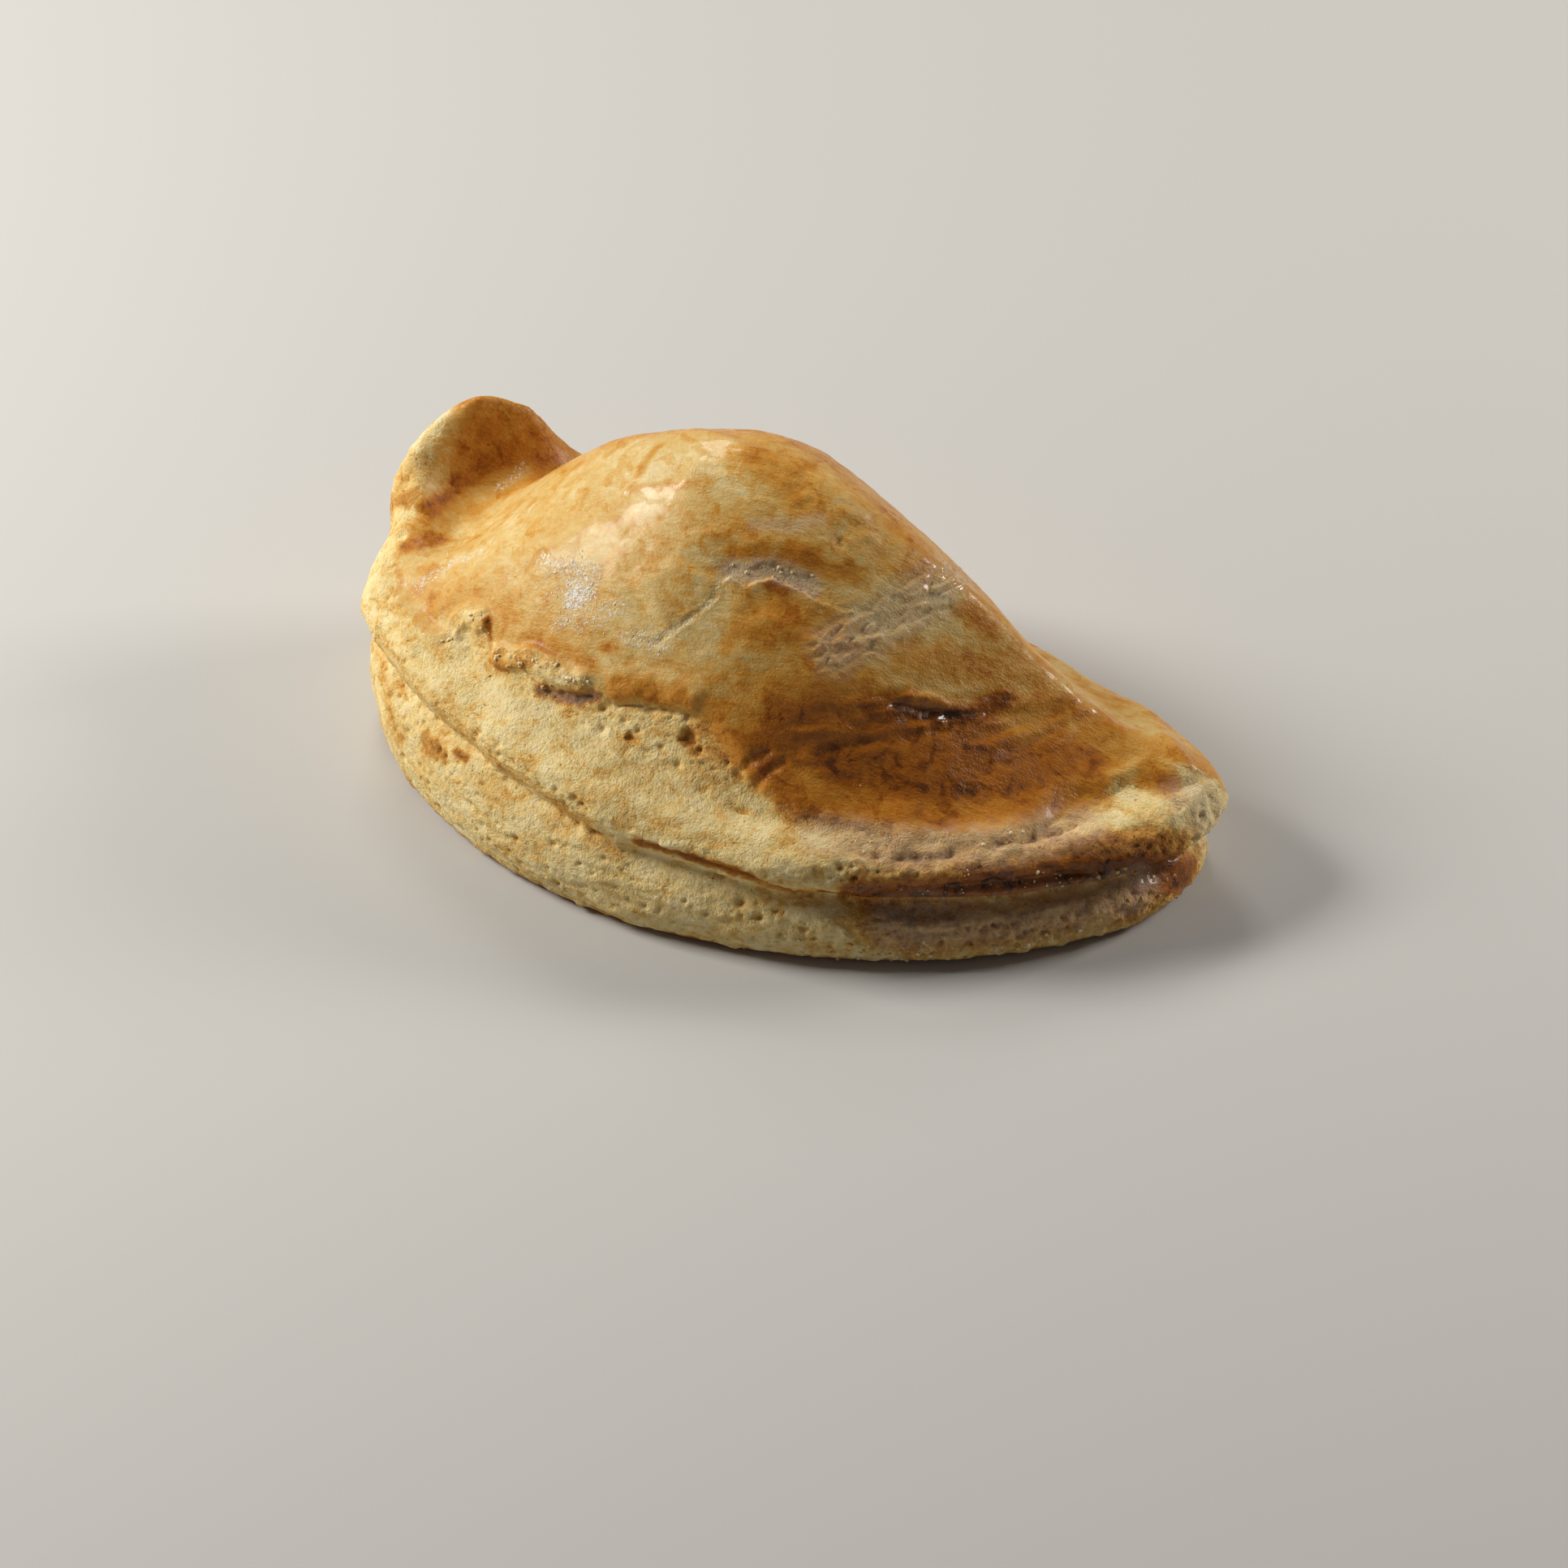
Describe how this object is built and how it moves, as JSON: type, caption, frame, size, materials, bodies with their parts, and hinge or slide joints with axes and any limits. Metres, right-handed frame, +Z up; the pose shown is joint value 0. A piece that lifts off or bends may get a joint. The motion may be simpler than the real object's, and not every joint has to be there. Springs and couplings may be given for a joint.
{
  "type": "empanada",
  "caption": "Baked half-moon turnover with a domed golden top, an open layered edge along the front and a turned-up corner.",
  "frame": {"origin": "middle of the bounding box in plan, at the height of the underside that the pastry rests on", "axes": "+X along the pastry's length, from the turned-up corner to the thin tip; +Y towards the folded back; +Z up"},
  "size_m": [0.1276, 0.0744, 0.0519],
  "materials": {
    "crust": "satin"
  },
  "bodies": {
    "root": {"pastry": "crust"}
  },
  "joints": []
}
